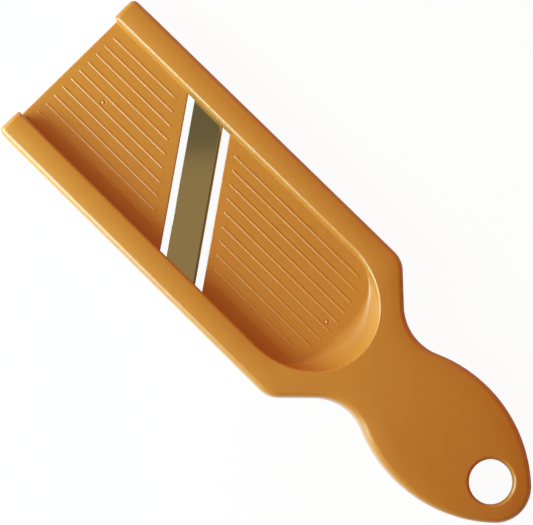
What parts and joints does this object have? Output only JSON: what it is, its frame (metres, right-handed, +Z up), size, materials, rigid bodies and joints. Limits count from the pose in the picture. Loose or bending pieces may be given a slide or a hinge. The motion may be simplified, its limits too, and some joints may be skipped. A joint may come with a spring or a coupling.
{
  "type": "green onion slicer",
  "caption": "Hand-held green onion slicer: open ribbed tray between two rails, fixed skewed strip blade, scooped well end and a paddle handle with a hanging hole.",
  "frame": {"origin": "under the middle of the slicer, on the surface that it rests on", "axes": "+X along the slicer towards the handle, +Y towards the left rail seen from the open end, +Z up out of the tray"},
  "size_m": [0.2381, 0.0716, 0.0144],
  "materials": {
    "orange_plastic": "injection moulded, semi-gloss",
    "blade_steel": "ground stainless strip",
    "screw_steel": "stainless, as rolled"
  },
  "bodies": {
    "root": {"slicer_frame": "orange_plastic", "slicing_blade": "blade_steel", "blade_keeper_left": "orange_plastic", "blade_keeper_right": "orange_plastic", "keeper_screw_1": "screw_steel", "keeper_screw_2": "screw_steel", "keeper_screw_3": "screw_steel", "keeper_screw_4": "screw_steel"}
  },
  "joints": []
}
